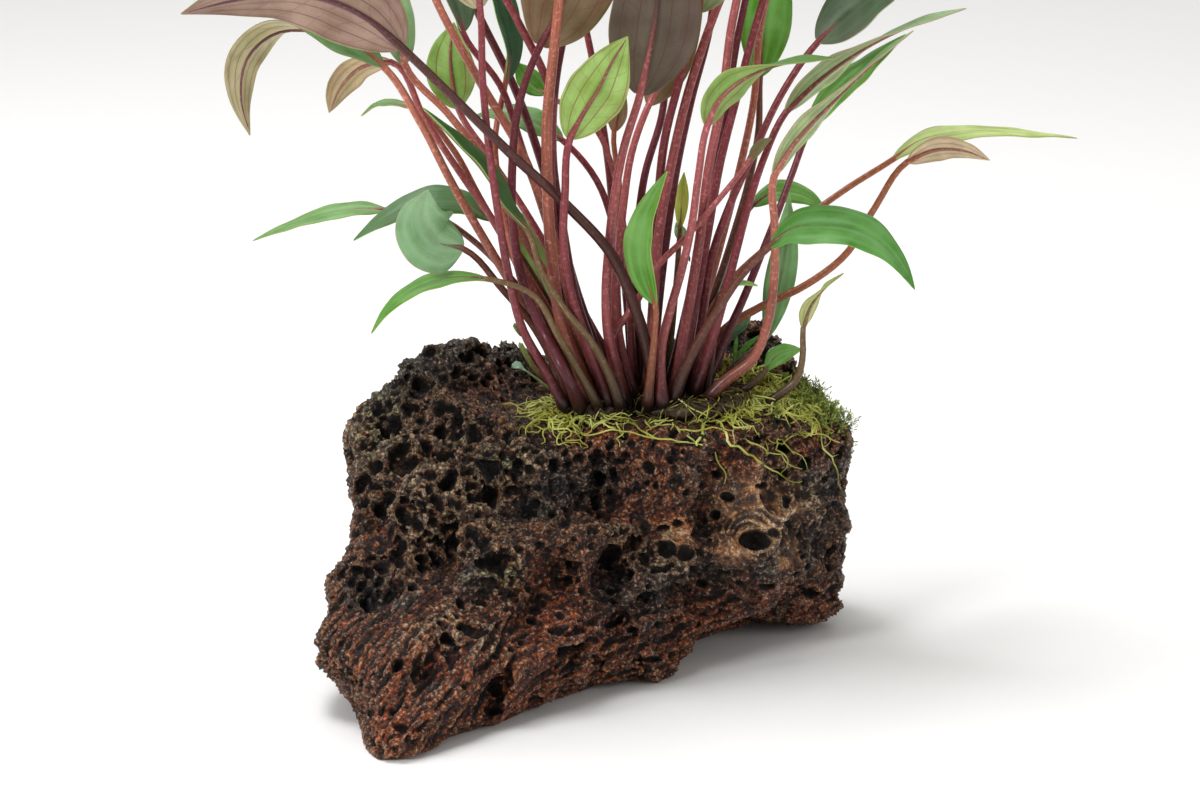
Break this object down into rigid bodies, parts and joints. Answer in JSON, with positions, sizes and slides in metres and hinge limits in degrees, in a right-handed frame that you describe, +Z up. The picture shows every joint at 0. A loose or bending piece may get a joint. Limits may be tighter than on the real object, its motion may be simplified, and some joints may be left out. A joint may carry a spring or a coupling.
{
  "type": "cryptocoryne plant on lava rock",
  "caption": "Aquarium plant with long red petioles and green to brown blades, rooted with fine pale roots and a little moss on a pitted piece of brown lava rock.",
  "frame": {"origin": "on the rock's flat base, straight under the place on the rock's shelf where the petioles start", "axes": "+Z up, -Y towards the viewer of the plant's front, +X to that viewer's right"},
  "size_m": [0.2201, 0.1434, 0.2126],
  "materials": {
    "lava_rock": "rough, wet gloss",
    "leaf": "satin, wet",
    "rootstock": "matt",
    "roots": "matt, fibrous",
    "moss": "matt, fibrous"
  },
  "bodies": {
    "root": {"lava_rock": "lava_rock", "crown_left": "rootstock", "crown_right": "rootstock", "root_mat_left": "roots", "root_mat_right": "roots", "moss": "moss", "leaf_left_droop": "leaf", "leaf_left_big": "leaf", "leaf_left_pink": "leaf", "leaf_left_narrow": "leaf", "leaf_left_hanging": "leaf", "leaf_left_twisted": "leaf", "leaf_tall_front_left": "leaf", "leaf_left_rolled": "leaf", "leaf_left_olive": "leaf", "leaf_tall_left_a": "leaf", "leaf_left_folded": "leaf", "leaf_tall_left_b": "leaf", "leaf_tall_left_c": "leaf", "leaf_tall_centre_a": "leaf", "leaf_tall_centre_b": "leaf", "leaf_brown_upper": "leaf", "leaf_back_green": "leaf", "leaf_curled_small": "leaf", "leaf_back_level": "leaf", "leaf_front_green": "leaf", "leaf_brown_centre": "leaf", "leaf_olive_centre": "leaf", "leaf_tall_centre_c": "leaf", "leaf_tall_centre_d": "leaf", "leaf_tall_centre_e": "leaf", "leaf_tall_back_a": "leaf", "leaf_tall_right_a": "leaf", "leaf_tall_right_b": "leaf", "leaf_tall_right_c": "leaf", "leaf_tall_right_d": "leaf", "leaf_back_tall_green": "leaf", "leaf_front_right": "leaf", "leaf_right_upper": "leaf", "leaf_right_hooked": "leaf", "leaf_right_band": "leaf", "leaf_right_drooping": "leaf", "leaf_right_dark": "leaf", "leaf_right_grey": "leaf", "leaf_right_edge": "leaf", "leaf_right_far": "leaf", "leaf_right_far_low": "leaf", "leaf_back_low_green": "leaf", "leaf_centre_folded": "leaf", "leaf_crossing": "leaf", "leaf_red_small": "leaf", "leaf_tall_back_b": "leaf", "leaf_low_left_far": "leaf", "leaf_low_left_mid": "leaf", "leaf_low_left_pale": "leaf", "leaf_low_left_arched": "leaf", "leaf_young_yellow": "leaf", "leaf_young_bright": "leaf", "leaf_round_small": "leaf"}
  },
  "joints": []
}
